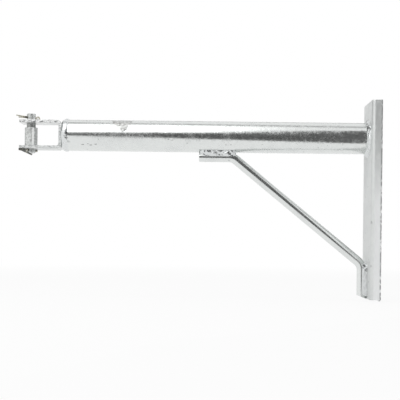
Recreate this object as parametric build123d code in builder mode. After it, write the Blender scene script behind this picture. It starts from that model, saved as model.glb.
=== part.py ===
from build123d import *
import os
from math import acos, cos, degrees, radians, sin, sqrt, tan

os.makedirs("parts", exist_ok=True)

# Extension arm that holds an aerial fibre optic cable clear of its pole, in millimetres.
# X = 0 is the plane of the channel's flange toes, which bear on the pole, and the arm reaches along -X.
# Y = 0 is the middle plane. Z = 0 is the tube's axis, and +Z points up the pole.

# Back channel, bent from plate
channel_width = 70.0
channel_depth = 14.0
channel_thickness = 4.0
channel_bend_radius = 1.5
channel_rise = 48.5
channel_drop = 219.0
channel_edge_round = 0.7
zinc_drip_radius = 1.7

# Arm tube
tube_dia = 42.4
tube_wall = 2.6
tube_length = 413.5

# Clevis strap, flat bar bent to a U
strap_width = 30.0
strap_thickness = 4.0
strap_gap = 31.0
strap_bend_radius = 3.0
strap_reach = 57.4
strap_root_gap = 3.5
strap_corner_radius = 2.0
strap_edge_round = 0.5

# Clevis pin and the holes across it
pin_dia = 12.0
pin_length = 53.5
pin_setback = 13.8
pin_chamfer = 0.8
pin_clearance = 0.5
pin_head_inset = 5.2
pin_foot_inset = 3.6

# Roller sleeve
sleeve_wall = 2.3
sleeve_length = 25.0
sleeve_bore_clearance = 0.3
sleeve_seat_clearance = 0.2
sleeve_edge_round = 0.5

# Split pins, bent from half-round wire
split_pin_dia = 2.9
split_pin_hole_clearance = 0.35
split_pin_seat_clearance = 0.2
split_pin_leg_gap = 0.1
split_pin_eye_bore = 2.9
split_pin_neck_radius = 2.2
upper_eye_clearance = 1.0
upper_leg_reach = 21.5
upper_leg_extra = 3.3
upper_splay_radius = 190.0
upper_turn = 34.0
upper_tilt = 1.5
lower_eye_clearance = 0.3
lower_leg_reach = 19.8
lower_fold_radius = 1.8
lower_turn = 58.0
near_leg_return = 15.0
near_leg_spread = 42.0
near_leg_droop = 34.0
far_leg_return = 14.0
far_leg_spread = 15.0

# Brace, round bar bent at both ends
brace_dia = 13.0
brace_bend_radius = 16.0
brace_angle = 39.14
brace_tail_end = 230.4
brace_corner_reach = 184.1
brace_foot = 214.0
brace_shear_angle = 19.5

# Weld beads
ring_weld_leg = 4.5
ring_weld_crown = 0.5
clevis_weld_width = 9.0
clevis_weld_height = 12.0
clevis_weld_proud = 0.8
clevis_weld_shift = 0.7
groove_weld_crown = 0.9
weld_root = 2.0
tube_groove_reach = 10.2
tube_groove_inset = 0.9
tube_groove_length = 49.5
channel_groove_reach = 9.5
channel_groove_lap = 0.8
channel_groove_overrun = 1.5
channel_groove_length = 45.5

# Places that follow from the sizes above
web_face = -channel_depth
tube_radius = tube_dia / 2
tube_end = web_face - tube_length
strap_face = tube_end - strap_root_gap
strap_end = strap_face - strap_reach
strap_top = strap_gap / 2 + strap_thickness
pin_x = strap_end + pin_setback
pin_radius = pin_dia / 2
sleeve_bore = pin_dia + 2 * sleeve_bore_clearance
sleeve_dia = sleeve_bore + 2 * sleeve_wall
sleeve_foot = -strap_gap / 2 + sleeve_seat_clearance
lower_pin_z = -(strap_top + split_pin_seat_clearance + split_pin_dia / 2)
pin_foot = lower_pin_z - pin_foot_inset
pin_head = pin_foot + pin_length
upper_pin_z = pin_head - pin_head_inset
brace_radius = brace_dia / 2
brace_tail_z = -(tube_radius + brace_radius)
brace_foot_x = web_face - brace_radius


# Back channel: a shallow U whose web faces the arm, with a bead of zinc at the near flange's foot
with BuildPart() as back_channel:
    with BuildSketch(Plane.XY.offset(-channel_drop)) as channel_section:
        with Locations((web_face / 2, 0)):
            Rectangle(channel_depth, channel_width)
        with Locations((channel_thickness / 2 + web_face / 2, 0)):
            Rectangle(
                channel_depth - channel_thickness,
                channel_width - 2 * channel_thickness,
                mode=Mode.SUBTRACT,
            )
        fillet(channel_section.vertices().group_by(Axis.X)[1], channel_bend_radius)
        fillet(channel_section.vertices().group_by(Axis.X)[0], channel_bend_radius + channel_thickness)
    extrude(amount=channel_rise + channel_drop)
    fillet(back_channel.edges().group_by(Axis.Z)[0], channel_edge_round)
    fillet(back_channel.edges().group_by(Axis.Z)[-1], channel_edge_round)
    with Locations((-channel_thickness / 2, channel_thickness / 2 - channel_width / 2, -channel_drop)):
        Sphere(zinc_drip_radius)
back_channel.part.label = "back_channel"
export_step(back_channel.part, "parts/back_channel.step")


# Arm tube, square cut at both ends
with BuildPart() as arm_tube:
    with BuildSketch(Plane.YZ.offset(tube_end)):
        Circle(tube_radius)
        Circle(tube_radius - tube_wall, mode=Mode.SUBTRACT)
    extrude(amount=tube_length)
arm_tube.part.label = "arm_tube"
export_step(arm_tube.part, "parts/arm_tube.step")


# Clevis strap: the U's web lies across the tube's end, and both legs are drilled for the pin
with BuildPart() as clevis_strap:
    with BuildSketch(Plane.XZ) as strap_profile:
        with Locations((strap_face - strap_reach / 2, 0)):
            Rectangle(strap_reach, 2 * strap_top)
        with Locations((strap_face - strap_reach / 2 - strap_thickness / 2, 0)):
            Rectangle(strap_reach - strap_thickness, strap_gap, mode=Mode.SUBTRACT)
        fillet(strap_profile.vertices().group_by(Axis.X)[1], strap_bend_radius)
        fillet(strap_profile.vertices().group_by(Axis.X)[-1], strap_bend_radius + strap_thickness)
    extrude(amount=strap_width / 2, both=True)
    leg_corners = clevis_strap.edges().filter_by(Axis.Z).group_by(Axis.X)[0]
    fillet(leg_corners, strap_corner_radius)
    sides = clevis_strap.faces().filter_by(Axis.Y).group_by(SortBy.AREA)[-1]
    fillet(sides.edges(), strap_edge_round)
    with Locations((pin_x, 0, strap_top)):
        Hole(pin_radius + pin_clearance, depth=2 * strap_top)
clevis_strap.part.label = "clevis_strap"
export_step(clevis_strap.part, "parts/clevis_strap.step")


def split_pin_heading(turn):
    """Level direction of a split pin's legs, turned from -X towards the near side."""
    return Vector(-cos(radians(turn)), -sin(radians(turn)), 0)


# Planes of the split pins' eyes, with x along the legs: the upper eye hangs lower than its legs' tips
upper_heading = split_pin_heading(upper_turn)
upper_plane = Plane(
    origin=(pin_x, 0, upper_pin_z),
    x_dir=upper_heading * cos(radians(upper_tilt)) + Vector(0, 0, 1) * sin(radians(upper_tilt)),
    z_dir=upper_heading.cross(Vector(0, 0, 1)),
)
lower_plane = Plane(origin=(pin_x, 0, lower_pin_z), x_dir=split_pin_heading(lower_turn), z_dir=(0, 0, 1))
split_hole_radius = split_pin_dia / 2 + split_pin_hole_clearance

# Clevis pin: plain bar with a chamfer at each end and a cross hole for each split pin
with BuildPart() as clevis_pin:
    with BuildSketch(Plane.XY.offset(pin_foot)):
        with Locations((pin_x, 0)):
            Circle(pin_radius)
    extrude(amount=pin_length)
    chamfer(clevis_pin.edges().group_by(Axis.Z)[0], pin_chamfer)
    chamfer(clevis_pin.edges().group_by(Axis.Z)[-1], pin_chamfer)
    for plane in (upper_plane, lower_plane):
        with BuildSketch(Plane(origin=plane.origin, z_dir=plane.x_dir)):
            Circle(split_hole_radius)
        extrude(amount=pin_dia, both=True, mode=Mode.SUBTRACT)
clevis_pin.part.label = "clevis_pin"
export_step(clevis_pin.part, "parts/clevis_pin.step")


# Roller sleeve: a short pipe that stands on the strap's lower leg
with BuildPart() as roller_sleeve:
    with BuildSketch(Plane.XY.offset(sleeve_foot)):
        with Locations((pin_x, 0)):
            Circle(sleeve_dia / 2)
            Circle(sleeve_bore / 2, mode=Mode.SUBTRACT)
    extrude(amount=sleeve_length)
    outer_rims = roller_sleeve.faces().filter_by(GeomType.CYLINDER).sort_by(SortBy.AREA)[-1].edges()
    fillet(outer_rims.filter_by(GeomType.CIRCLE), sleeve_edge_round)
roller_sleeve.part.label = "roller_sleeve"
export_step(roller_sleeve.part, "parts/roller_sleeve.step")


# Half-round wire of a split pin: its flat side lies along the path, and its round side faces outwards
wire_radius = split_pin_dia / 2 - split_pin_leg_gap / 2
flat_offset = split_pin_leg_gap / 2
eye_radius = split_pin_eye_bore / 2
neck_angle = degrees(acos((flat_offset + split_pin_neck_radius) / (eye_radius + split_pin_neck_radius)))


def half_round(section_plane):
    """Half disc of the wire, on the positive x side of the given plane."""
    with BuildSketch(section_plane) as section:
        Circle(wire_radius)
        with Locations((-wire_radius, 0)):
            Rectangle(2 * wire_radius, 2 * wire_radius, mode=Mode.SUBTRACT)
    return section.sketch


def eye_path(neck_x):
    """Wire's flat round the eye, from the first leg's neck to the second leg's neck."""
    neck_in = JernArc((neck_x, flat_offset), (-1, 0), split_pin_neck_radius, -neck_angle)
    eye = JernArc(neck_in @ 1, neck_in % 1, eye_radius, 180 + 2 * neck_angle)
    JernArc(eye @ 1, eye % 1, split_pin_neck_radius, -neck_angle)


# Upper split pin: its eye stands upright, and its two legs spread a little towards their tips
upper_neck_x = -(pin_radius + upper_eye_clearance)
splay_start = pin_radius + upper_eye_clearance
long_splay = degrees((upper_leg_reach - splay_start) / upper_splay_radius)
short_splay = degrees((upper_leg_reach - upper_leg_extra - splay_start) / upper_splay_radius)
long_tip = (
    splay_start + upper_splay_radius * sin(radians(long_splay)),
    flat_offset + upper_splay_radius * (1 - cos(radians(long_splay))),
)
long_heading = (-cos(radians(long_splay)), -sin(radians(long_splay)))

with BuildPart() as upper_split_pin:
    with BuildLine(upper_plane) as upper_path:
        JernArc(long_tip, long_heading, upper_splay_radius, -long_splay)
        Line((splay_start, flat_offset), (upper_neck_x, flat_offset))
        eye_path(upper_neck_x)
        Line((upper_neck_x, -flat_offset), (splay_start, -flat_offset))
        JernArc((splay_start, -flat_offset), (1, 0), upper_splay_radius, -short_splay)
    tip_plane = Plane(
        origin=upper_plane.from_local_coords((long_tip[0], long_tip[1], 0)),
        x_dir=upper_plane.x_dir * long_heading[1] - upper_plane.y_dir * long_heading[0],
        z_dir=upper_plane.x_dir * long_heading[0] + upper_plane.y_dir * long_heading[1],
    )
    sweep(half_round(tip_plane), path=upper_path.wire())
upper_split_pin.part.label = "upper_split_pin"
export_step(upper_split_pin.part, "parts/upper_split_pin.step")


# Lower split pin: its eye lies flat, and its legs are bent back round both sides of the pin's foot
lower_neck_x = -(pin_radius + lower_eye_clearance)
far_fold = 180 - far_leg_spread
far_heading = (cos(radians(far_leg_spread)), sin(radians(far_leg_spread)))
far_fold_exit = (
    lower_leg_reach + lower_fold_radius * sin(radians(far_leg_spread)),
    -(flat_offset + lower_fold_radius * (1 + cos(radians(far_leg_spread)))),
)
far_tip = (
    far_fold_exit[0] - far_leg_return * far_heading[0],
    far_fold_exit[1] - far_leg_return * far_heading[1],
)
near_sideways = (
    lower_plane.y_dir * cos(radians(near_leg_droop)) - Vector(0, 0, 1) * sin(radians(near_leg_droop))
)
near_fold_normal = lower_plane.x_dir.cross(near_sideways)

with BuildPart() as lower_split_pin:
    with BuildLine(lower_plane) as lower_path:
        eye_to_fold = Line((lower_leg_reach, flat_offset), (lower_neck_x, flat_offset))
        eye_path(lower_neck_x)
        Line((lower_neck_x, -flat_offset), (lower_leg_reach, -flat_offset))
        fold = JernArc((lower_leg_reach, -flat_offset), (1, 0), lower_fold_radius, -far_fold)
        Line(fold @ 1, far_tip)
    near_start = lower_plane.from_local_coords((lower_leg_reach, flat_offset, 0))
    near_section = Plane(near_start, x_dir=lower_plane.y_dir, z_dir=-lower_plane.x_dir)
    far_section = Plane(lower_path.wire() @ 0, x_dir=lower_plane.y_dir, z_dir=-lower_plane.x_dir)
    sweep(half_round(far_section), path=lower_path.wire())
    with BuildLine(Plane(near_start, x_dir=lower_plane.x_dir, z_dir=near_fold_normal)) as near_path:
        near_fold = JernArc((0, 0), (1, 0), lower_fold_radius, 180 - near_leg_spread)
        Line(near_fold @ 1, near_fold @ 1 + near_fold % 1 * near_leg_return)
    sweep(half_round(near_section), path=near_path.wire())
lower_split_pin.part.label = "lower_split_pin"
export_step(lower_split_pin.part, "parts/lower_split_pin.step")


# Brace: lies along the tube's underside, runs down to the channel and along its web, sheared at its foot
brace_corner = (web_face - brace_corner_reach, brace_tail_z)
brace_knee = (brace_foot_x, brace_tail_z - (brace_foot_x - brace_corner[0]) * tan(radians(brace_angle)))
shear_drop = brace_dia * tan(radians(brace_shear_angle))

with BuildPart() as brace_bar:
    with BuildLine(Plane.XZ) as brace_path:
        FilletPolyline(
            (web_face - brace_tail_end, brace_tail_z),
            brace_corner,
            brace_knee,
            (brace_foot_x, -brace_foot - shear_drop - brace_radius),
            radius=brace_bend_radius,
        )
    with BuildSketch(Plane.YZ.offset(web_face - brace_tail_end)):
        with Locations((0, brace_tail_z)):
            Circle(brace_radius)
    sweep(path=brace_path.wire())
    shear_plane = Plane(
        origin=(brace_foot_x - brace_radius, 0, -brace_foot),
        z_dir=(sin(radians(brace_shear_angle)), 0, cos(radians(brace_shear_angle))),
    )
    split(bisect_by=shear_plane, keep=Keep.TOP)
brace_bar.part.label = "brace_bar"
export_step(brace_bar.part, "parts/brace_bar.step")


# Weld round the tube at the channel's web: a fillet with a low crown
with BuildPart() as tube_channel_weld:
    with BuildSketch(Plane.XZ):
        with BuildLine():
            toe = (web_face, tube_radius + ring_weld_leg)
            heel = (web_face - ring_weld_leg, tube_radius)
            outward = Vector(-1, 1).normalized()
            crown = (Vector(toe) + Vector(heel)) / 2 + outward * ring_weld_crown
            Polyline(heel, (web_face, tube_radius), toe)
            ThreePointArc(toe, crown, heel)
        make_face()
    revolve(axis=Axis.X)
tube_channel_weld.part.label = "tube_channel_weld"
export_step(tube_channel_weld.part, "parts/tube_channel_weld.step")


# Weld between the tube's end and the strap: a rounded ring over the tube's rim, cut by both of them
with BuildPart() as clevis_weld:
    ring_radius = tube_radius + clevis_weld_proud - clevis_weld_height / 2
    with BuildSketch(Plane.XZ):
        with Locations((tube_end + clevis_weld_shift, ring_radius)):
            Ellipse(clevis_weld_width / 2, clevis_weld_height / 2)
    revolve(axis=Axis.X)
    with BuildSketch(Plane.YZ.offset(tube_end)):
        Circle(tube_radius)
    extrude(amount=clevis_weld_width, mode=Mode.SUBTRACT)
    add(clevis_strap.part, mode=Mode.SUBTRACT)
clevis_weld.part.label = "clevis_weld"
export_step(clevis_weld.part, "parts/clevis_weld.step")


def groove_weld(plane, corners, crown, length):
    """Bead in a groove beside the brace: root, carrier's face, crowned outer face, brace's side."""
    root_start, on_carrier, on_brace, root_end = corners
    with BuildPart() as bead:
        with BuildSketch(plane):
            with BuildLine():
                Polyline(on_brace, root_end, root_start, on_carrier)
                ThreePointArc(on_carrier, crown, on_brace)
            make_face()
        extrude(amount=length)
        add(arm_tube.part, mode=Mode.SUBTRACT)
        add(brace_bar.part, mode=Mode.SUBTRACT)
    return bead.part


# Welds along the brace's tail and foot, one on its near side and one on its far side
tube_groove_z = -sqrt(tube_radius**2 - tube_groove_reach**2)
lap_y = sqrt(brace_radius**2 - channel_groove_lap**2)

for side_name, side in (("near", -1), ("far", 1)):
    tube_bead = groove_weld(
        Plane.YZ.offset(web_face - brace_tail_end + tube_groove_inset),
        (
            (side * weld_root, tube_wall / 2 - tube_radius),
            (side * tube_groove_reach, tube_groove_z),
            (side * brace_radius, brace_tail_z),
            (side * weld_root, brace_tail_z),
        ),
        (
            side * ((tube_groove_reach + brace_radius) / 2 + groove_weld_crown),
            (tube_groove_z + brace_tail_z) / 2,
        ),
        tube_groove_length,
    )
    tube_bead.label = f"brace_tube_weld_{side_name}"
    export_step(tube_bead, f"parts/{tube_bead.label}.step")

    channel_bead = groove_weld(
        Plane.XY.offset(-brace_foot - channel_groove_overrun),
        (
            (web_face, side * weld_root),
            (web_face, side * channel_groove_reach),
            (brace_foot_x - channel_groove_lap, side * lap_y),
            (brace_foot_x, side * weld_root),
        ),
        (
            (web_face + brace_foot_x - channel_groove_lap) / 2,
            side * ((channel_groove_reach + lap_y) / 2 + groove_weld_crown),
        ),
        channel_groove_length,
    )
    channel_bead.label = f"brace_channel_weld_{side_name}"
    export_step(channel_bead, f"parts/{channel_bead.label}.step")
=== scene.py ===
import math
import random

import bpy
from bpy.props import FloatProperty, FloatVectorProperty, PointerProperty
from bpy.types import Operator, Panel, PropertyGroup
from mathutils import Euler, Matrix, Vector, noise


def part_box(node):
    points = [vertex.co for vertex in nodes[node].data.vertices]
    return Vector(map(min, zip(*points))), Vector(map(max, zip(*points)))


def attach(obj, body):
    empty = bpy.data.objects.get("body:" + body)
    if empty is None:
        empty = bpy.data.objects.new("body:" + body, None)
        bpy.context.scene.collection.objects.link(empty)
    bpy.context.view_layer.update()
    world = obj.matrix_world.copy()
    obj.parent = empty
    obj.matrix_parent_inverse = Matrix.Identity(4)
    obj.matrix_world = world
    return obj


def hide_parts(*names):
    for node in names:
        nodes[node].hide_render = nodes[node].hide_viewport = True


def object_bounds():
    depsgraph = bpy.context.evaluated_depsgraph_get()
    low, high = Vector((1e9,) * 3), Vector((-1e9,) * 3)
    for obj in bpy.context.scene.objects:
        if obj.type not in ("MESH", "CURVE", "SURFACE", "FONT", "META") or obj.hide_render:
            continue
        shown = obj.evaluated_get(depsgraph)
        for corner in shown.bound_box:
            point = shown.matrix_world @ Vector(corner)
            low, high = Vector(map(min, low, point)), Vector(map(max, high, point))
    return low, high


bl_info = {
    "name": "Fibre optic extension arm",
    "version": (1, 0, 0),
    "blender": (4, 5, 0),
    "location": "View3D > Sidebar > Extension arm",
    "description": "Finishes a galvanised pole arm with its clevis, pins, sleeve, brace and welds",
    "category": "Object",
}

# Millimetres are written as such and turned to metres where a mesh is made.
MM = 0.001

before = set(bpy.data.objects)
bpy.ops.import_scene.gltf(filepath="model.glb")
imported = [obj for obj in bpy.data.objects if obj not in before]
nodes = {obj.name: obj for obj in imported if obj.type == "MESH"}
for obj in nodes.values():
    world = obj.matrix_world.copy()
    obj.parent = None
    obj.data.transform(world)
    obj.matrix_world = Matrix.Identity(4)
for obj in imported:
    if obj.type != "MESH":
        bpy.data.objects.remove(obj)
cad_low, cad_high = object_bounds()
tube_low, tube_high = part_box("arm_tube")
channel_low, channel_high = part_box("back_channel")
strap_low, strap_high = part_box("clevis_strap")

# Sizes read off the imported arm
tube_radius = tube_high.z
tube_end_x = tube_low.x
web_x = tube_high.x
brace_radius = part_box("brace_bar")[1].y
brace_tail_z = -(tube_radius + brace_radius)


class ZincSettings(PropertyGroup):
    """Colours and textures of the hot-dip zinc coat"""

    colour: FloatVectorProperty(
        name="Zinc colour", description="Reflection colour of the clean zinc coat",
        subtype="COLOR", size=3, min=0.0, max=1.0, default=(0.765, 0.785, 0.775),
    )
    dull_colour: FloatVectorProperty(
        name="Dull zinc colour", description="Reflection colour of the greyer crystals",
        subtype="COLOR", size=3, min=0.0, max=1.0, default=(0.60, 0.615, 0.63),
    )
    weld_colour: FloatVectorProperty(
        name="Weld zinc colour", description="Reflection colour of the zinc over the weld beads",
        subtype="COLOR", size=3, min=0.0, max=1.0, default=(0.735, 0.755, 0.755),
    )
    crystal_size: FloatProperty(
        name="Crystal size", description="Width of one zinc crystal",
        subtype="DISTANCE", unit="LENGTH", default=0.0032, min=0.0005,
    )
    crystal_tilt: FloatProperty(
        name="Crystal tilt", description="How far the crystals' faces lean from the steel's face",
        default=0.03, min=0.0, max=1.0,
    )
    roughness: FloatProperty(
        name="Roughness", description="Roughness of the clean zinc coat", default=0.17, min=0.0, max=1.0,
    )


class SplitPinSettings(PropertyGroup):
    """Colours of the passivated split pins"""

    colour: FloatVectorProperty(
        name="Passivate colour", description="Yellow of the passivated zinc plate",
        subtype="COLOR", size=3, min=0.0, max=1.0, default=(0.60, 0.575, 0.47),
    )
    # Painted reflection: dark olive bands that stand in for the changing glare along the upper pin's wire.
    painted_glare_colour: FloatVectorProperty(
        name="Glare olive colour", description="Darker olive of the painted glare bands along the wire",
        subtype="COLOR", size=3, min=0.0, max=1.0, default=(0.11, 0.105, 0.08),
    )
    # Painted shade: near black that darkens the lower pin where it lies in the shadow under the strap.
    painted_shade_colour: FloatVectorProperty(
        name="Painted shade colour", description="Near black of the shaded lower pin",
        subtype="COLOR", size=3, min=0.0, max=1.0, default=(0.12, 0.123, 0.12),
    )


class WeldSettings(PropertyGroup):
    """Sizes of the hand-laid weld beads"""

    ripple_pitch: FloatProperty(
        name="Ripple pitch", description="Distance from one ripple to the next",
        subtype="DISTANCE", unit="LENGTH", default=0.0028, min=0.0005,
    )
    ripple_height: FloatProperty(
        name="Ripple height", description="Height of a ripple",
        subtype="DISTANCE", unit="LENGTH", default=0.00022, min=0.0,
    )
    lump_height: FloatProperty(
        name="Lump height", description="How far the bead swells and sinks along its run",
        subtype="DISTANCE", unit="LENGTH", default=0.0008, min=0.0,
    )
    ring_leg: FloatProperty(
        name="Ring weld leg", description="Leg of the fillet round the tube at the channel",
        subtype="DISTANCE", unit="LENGTH", default=0.0045, min=0.001,
    )


class StudioSettings(PropertyGroup):
    """Floor, lamp and camera of the studio"""

    floor_gap: FloatProperty(
        name="Floor gap", description="Clear height between the floor and the arm's lowest point",
        subtype="DISTANCE", unit="LENGTH", default=0.002, min=0.0,
    )
    softbox_power: FloatProperty(
        name="Softbox power", description="Power of the softbox above the arm",
        subtype="POWER", unit="POWER", default=5.3, min=0.0,
    )
    sky_level: FloatProperty(
        name="Sky level", description="Level of the even light from all round", default=0.68, min=0.0,
    )
    camera_distance: FloatProperty(
        name="Camera distance", description="Distance from the camera to the arm's middle plane",
        subtype="DISTANCE", unit="LENGTH", default=1.27, min=0.1,
    )


# Node helpers


def place(tree, kind, inputs=None, **settings):
    """Adds a node, applies its settings, and fills its inputs from values or from other nodes' sockets."""
    node = tree.nodes.new(kind)
    for key, value in settings.items():
        setattr(node, key, value)
    for key, value in (inputs or {}).items():
        socket = node.inputs[key]
        if isinstance(value, bpy.types.NodeSocket):
            tree.links.new(value, socket)
        else:
            socket.default_value = value
    return node


def connect(tree, node, sockets):
    """Links sockets to a node's inputs by name."""
    for name, socket in sockets.items():
        tree.links.new(socket, node.inputs[name])


def calc(tree, operation, *values, clamp=False):
    """Math on one to three numbers or sockets."""
    inputs = dict(enumerate(values))
    return place(tree, "ShaderNodeMath", inputs, operation=operation, use_clamp=clamp).outputs[0]


def vector_calc(tree, operation, first, second=None):
    """Math on one or two vectors: gives a vector, or the number that a distance, product or length is."""
    inputs = {0: first}
    if second is not None:
        inputs["Scale" if operation == "SCALE" else 1] = second
    result = "Value" if operation in ("DISTANCE", "DOT_PRODUCT", "LENGTH") else "Vector"
    return place(tree, "ShaderNodeVectorMath", inputs, operation=operation).outputs[result]


def ramp(tree, value, start, end, low=0.0, high=1.0, smooth=False):
    """Goes from low to high while the value goes from start to end, and stays level outside them."""
    return place(tree, "ShaderNodeMapRange", {
        "Value": value, "From Min": start, "From Max": end, "To Min": low, "To Max": high,
    }, interpolation_type="SMOOTHSTEP" if smooth else "LINEAR").outputs[0]


def blend(tree, share, first, second):
    """Mixes two colours, each a socket or its red, green and blue."""
    first, second = (c if isinstance(c, bpy.types.NodeSocket) else (*c, 1.0) for c in (first, second))
    return place(tree, "ShaderNodeMix", {"Factor": share, 6: first, 7: second}, data_type="RGBA").outputs[2]


def noise_texture(tree, where, scale, detail, roughness=0.5):
    """Soft noise over the given places."""
    return place(tree, "ShaderNodeTexNoise", {
        "Vector": where, "Scale": scale, "Detail": detail, "Roughness": roughness,
    })


def cell_texture(tree, where, width):
    """Cells about as wide as the given width."""
    scale = calc(tree, "DIVIDE", 1.0, width)
    return place(tree, "ShaderNodeTexVoronoi", {"Vector": where, "Scale": scale}, feature="F1")


def own_place(tree):
    """Place in the arm's own frame, as a socket."""
    return place(tree, "ShaderNodeTexCoord").outputs["Object"]


def axis_value(tree, axis):
    """Place along X, Y or Z in the arm's own frame, as a socket."""
    return place(tree, "ShaderNodeSeparateXYZ", {0: own_place(tree)}).outputs[axis]


def start_group(name, inputs, outputs):
    """Starts a shader node group and returns its tree, input and output nodes. inputs gives the default of
    each input, and outputs says whether each output is a Float or a Vector."""
    tree = bpy.data.node_groups.new(name, "ShaderNodeTree")
    for label, default in inputs.items():
        kind = "Vector" if isinstance(default, tuple) else "Float"
        socket = tree.interface.new_socket(name=label, in_out="INPUT", socket_type=f"NodeSocket{kind}")
        socket.default_value = default
    for label, kind in outputs.items():
        tree.interface.new_socket(name=label, in_out="OUTPUT", socket_type=f"NodeSocket{kind}")
    return tree, tree.nodes.new("NodeGroupInput"), tree.nodes.new("NodeGroupOutput")


def start_material(name):
    """Starts a material and returns it with its tree and its shader."""
    material = bpy.data.materials.new(name)
    material.use_nodes = True
    return material, material.node_tree, material.node_tree.nodes["Principled BSDF"]


# Scales of the noise textures, in cells to the metre
CRYSTAL_RAGGEDNESS = 420.0
RUN_SCALE = 42.0
SKIN_SCALE = 380.0
MARK_RAGGEDNESS = 300.0
CRUMB_SCALE = 420.0
PASSIVATE_SCALE = 260.0
DRAWN_LINE_SCALE = 1800.0

# Colours that the coat takes where it is marked, pitted or under slag, and the painted shade in a gap
# between parts
MARK_COLOUR = (0.30, 0.31, 0.32)
PIT_COLOUR = (0.12, 0.125, 0.13)
SHADE_STRIP_COLOUR = (0.34, 0.35, 0.34)
SLAG_COLOUR = (0.09, 0.093, 0.095)

# How far a dull patch greys and roughens the coat, how strong a mark is, and how lively the calm coat is
PATCH_GREYING = 0.12
PATCH_ROUGHNESS = 0.1
MARK_STRENGTH = 0.45
CALM_LIVELINESS = 0.1

# Painted shade strip in a gap between parts: its strength, and how far its edges blur out of it and into it,
# in metres
SHADE_STRIP_STRENGTH = 0.85
SHADE_STRIP_BLUR_OUT = 0.0004
SHADE_STRIP_BLUR_IN = 0.0002

# Middle of a random colour, which is taken off to make it point every way
RANDOM_MIDDLE = (0.5, 0.5, 0.5)


def crystal_group():
    """Zinc crystals: each cell has its own lean, tone and frost."""
    tree, given, out = start_group(
        "Zinc crystals", {"Size": 0.003, "Lean": 0.15, "Normal": (0, 0, 1)},
        {"Normal": "Vector", "Tone": "Float", "Frost": "Float"},
    )
    where = own_place(tree)
    ragged = noise_texture(tree, where, CRYSTAL_RAGGEDNESS, 2.0)
    shift = vector_calc(tree, "SUBTRACT", ragged.outputs["Color"], RANDOM_MIDDLE)
    shift = vector_calc(tree, "SCALE", shift, given.outputs["Size"])
    cells = cell_texture(tree, vector_calc(tree, "ADD", where, shift), given.outputs["Size"])
    lean = vector_calc(tree, "SUBTRACT", cells.outputs["Color"], RANDOM_MIDDLE)
    lean = vector_calc(tree, "SCALE", lean, given.outputs["Lean"])
    facing = vector_calc(tree, "NORMALIZE", vector_calc(tree, "ADD", given.outputs["Normal"], lean))
    parts = place(tree, "ShaderNodeSeparateColor", {"Color": cells.outputs["Color"]})
    connect(tree, out, {"Normal": facing, "Tone": parts.outputs["Red"], "Frost": parts.outputs["Green"]})
    return tree


def flow_group():
    """Surface of the frozen zinc: long runs, an uneven skin and small grit, as one bumped normal."""
    tree, given, out = start_group(
        "Zinc flow",
        {"Run Height": 0.0002, "Skin Height": 0.00003, "Grit Height": 0.0002, "Grit Spacing": 0.02},
        {"Normal": "Vector", "Grit": "Float"},
    )
    where = own_place(tree)
    runs = noise_texture(tree, where, RUN_SCALE, 3.0, 0.45)
    skin = noise_texture(tree, where, SKIN_SCALE, 3.0, 0.6)
    specks = cell_texture(tree, where, given.outputs["Grit Spacing"])
    grit = ramp(tree, specks.outputs["Distance"], 0.03, 0.075, 1.0, 0.0, smooth=True)
    height = calc(tree, "MULTIPLY", runs.outputs["Fac"], given.outputs["Run Height"])
    for relief, amount in ((skin.outputs["Fac"], "Skin Height"), (grit, "Grit Height")):
        height = calc(tree, "ADD", height, calc(tree, "MULTIPLY", relief, given.outputs[amount]))
    bump = place(tree, "ShaderNodeBump", {"Height": height, "Strength": 1.0, "Distance": 1.0})
    connect(tree, out, {"Normal": bump.outputs["Normal"], "Grit": grit})
    return tree


def stain_group():
    """Dull patches and small dark marks left by handling and by the quench."""
    tree, given, out = start_group(
        "Storage marks", {"Patch Size": 0.03, "Mark Spacing": 0.025}, {"Patches": "Float", "Marks": "Float"},
    )
    where = own_place(tree)
    patches = noise_texture(tree, where, calc(tree, "DIVIDE", 1.0, given.outputs["Patch Size"]), 5.0)
    wander = noise_texture(tree, where, MARK_RAGGEDNESS, 2.0)
    moved = vector_calc(tree, "ADD", where, vector_calc(tree, "SCALE", wander.outputs["Color"], 0.004))
    spots = cell_texture(tree, moved, given.outputs["Mark Spacing"])
    connect(tree, out, {
        "Patches": ramp(tree, patches.outputs["Fac"], 0.45, 0.7),
        "Marks": ramp(tree, spots.outputs["Distance"], 0.05, 0.1, 1.0, 0.0),
    })
    return tree


def edge_group():
    """Sheared or rolled edge: a mask along one axis, with torn, pitted metal inside it."""
    tree, given, out = start_group(
        "Sheared edge",
        {
            "Across": (0, 1, 0), "Inner": 0.0143, "Outer": 0.0149, "Tear Height": 0.0003,
            "Tear Size": 0.003, "Tear Stretch": (1, 1, 1), "Pit Level": 0.52, "Normal": (0, 0, 1),
        },
        {"Mask": "Float", "Pits": "Float", "Normal": "Vector"},
    )
    where = own_place(tree)
    reach = calc(tree, "ABSOLUTE", vector_calc(tree, "DOT_PRODUCT", where, given.outputs["Across"]))
    mask = ramp(tree, reach, given.outputs["Inner"], given.outputs["Outer"])
    drawn = vector_calc(tree, "MULTIPLY", where, given.outputs["Tear Stretch"])
    tear_scale = calc(tree, "DIVIDE", 1.0, given.outputs["Tear Size"])
    tears = noise_texture(tree, drawn, tear_scale, 3.0, 0.6).outputs["Fac"]
    full_pit = calc(tree, "ADD", given.outputs["Pit Level"], 0.1)
    pits = calc(tree, "MULTIPLY", ramp(tree, tears, given.outputs["Pit Level"], full_pit), mask)
    height = calc(tree, "MULTIPLY", calc(tree, "MULTIPLY", tears, given.outputs["Tear Height"]), mask)
    bump = place(tree, "ShaderNodeBump", {
        "Height": height, "Strength": 1.0, "Distance": 1.0, "Normal": given.outputs["Normal"],
    })
    connect(tree, out, {"Mask": mask, "Pits": pits, "Normal": bump.outputs["Normal"]})
    return tree


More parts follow.
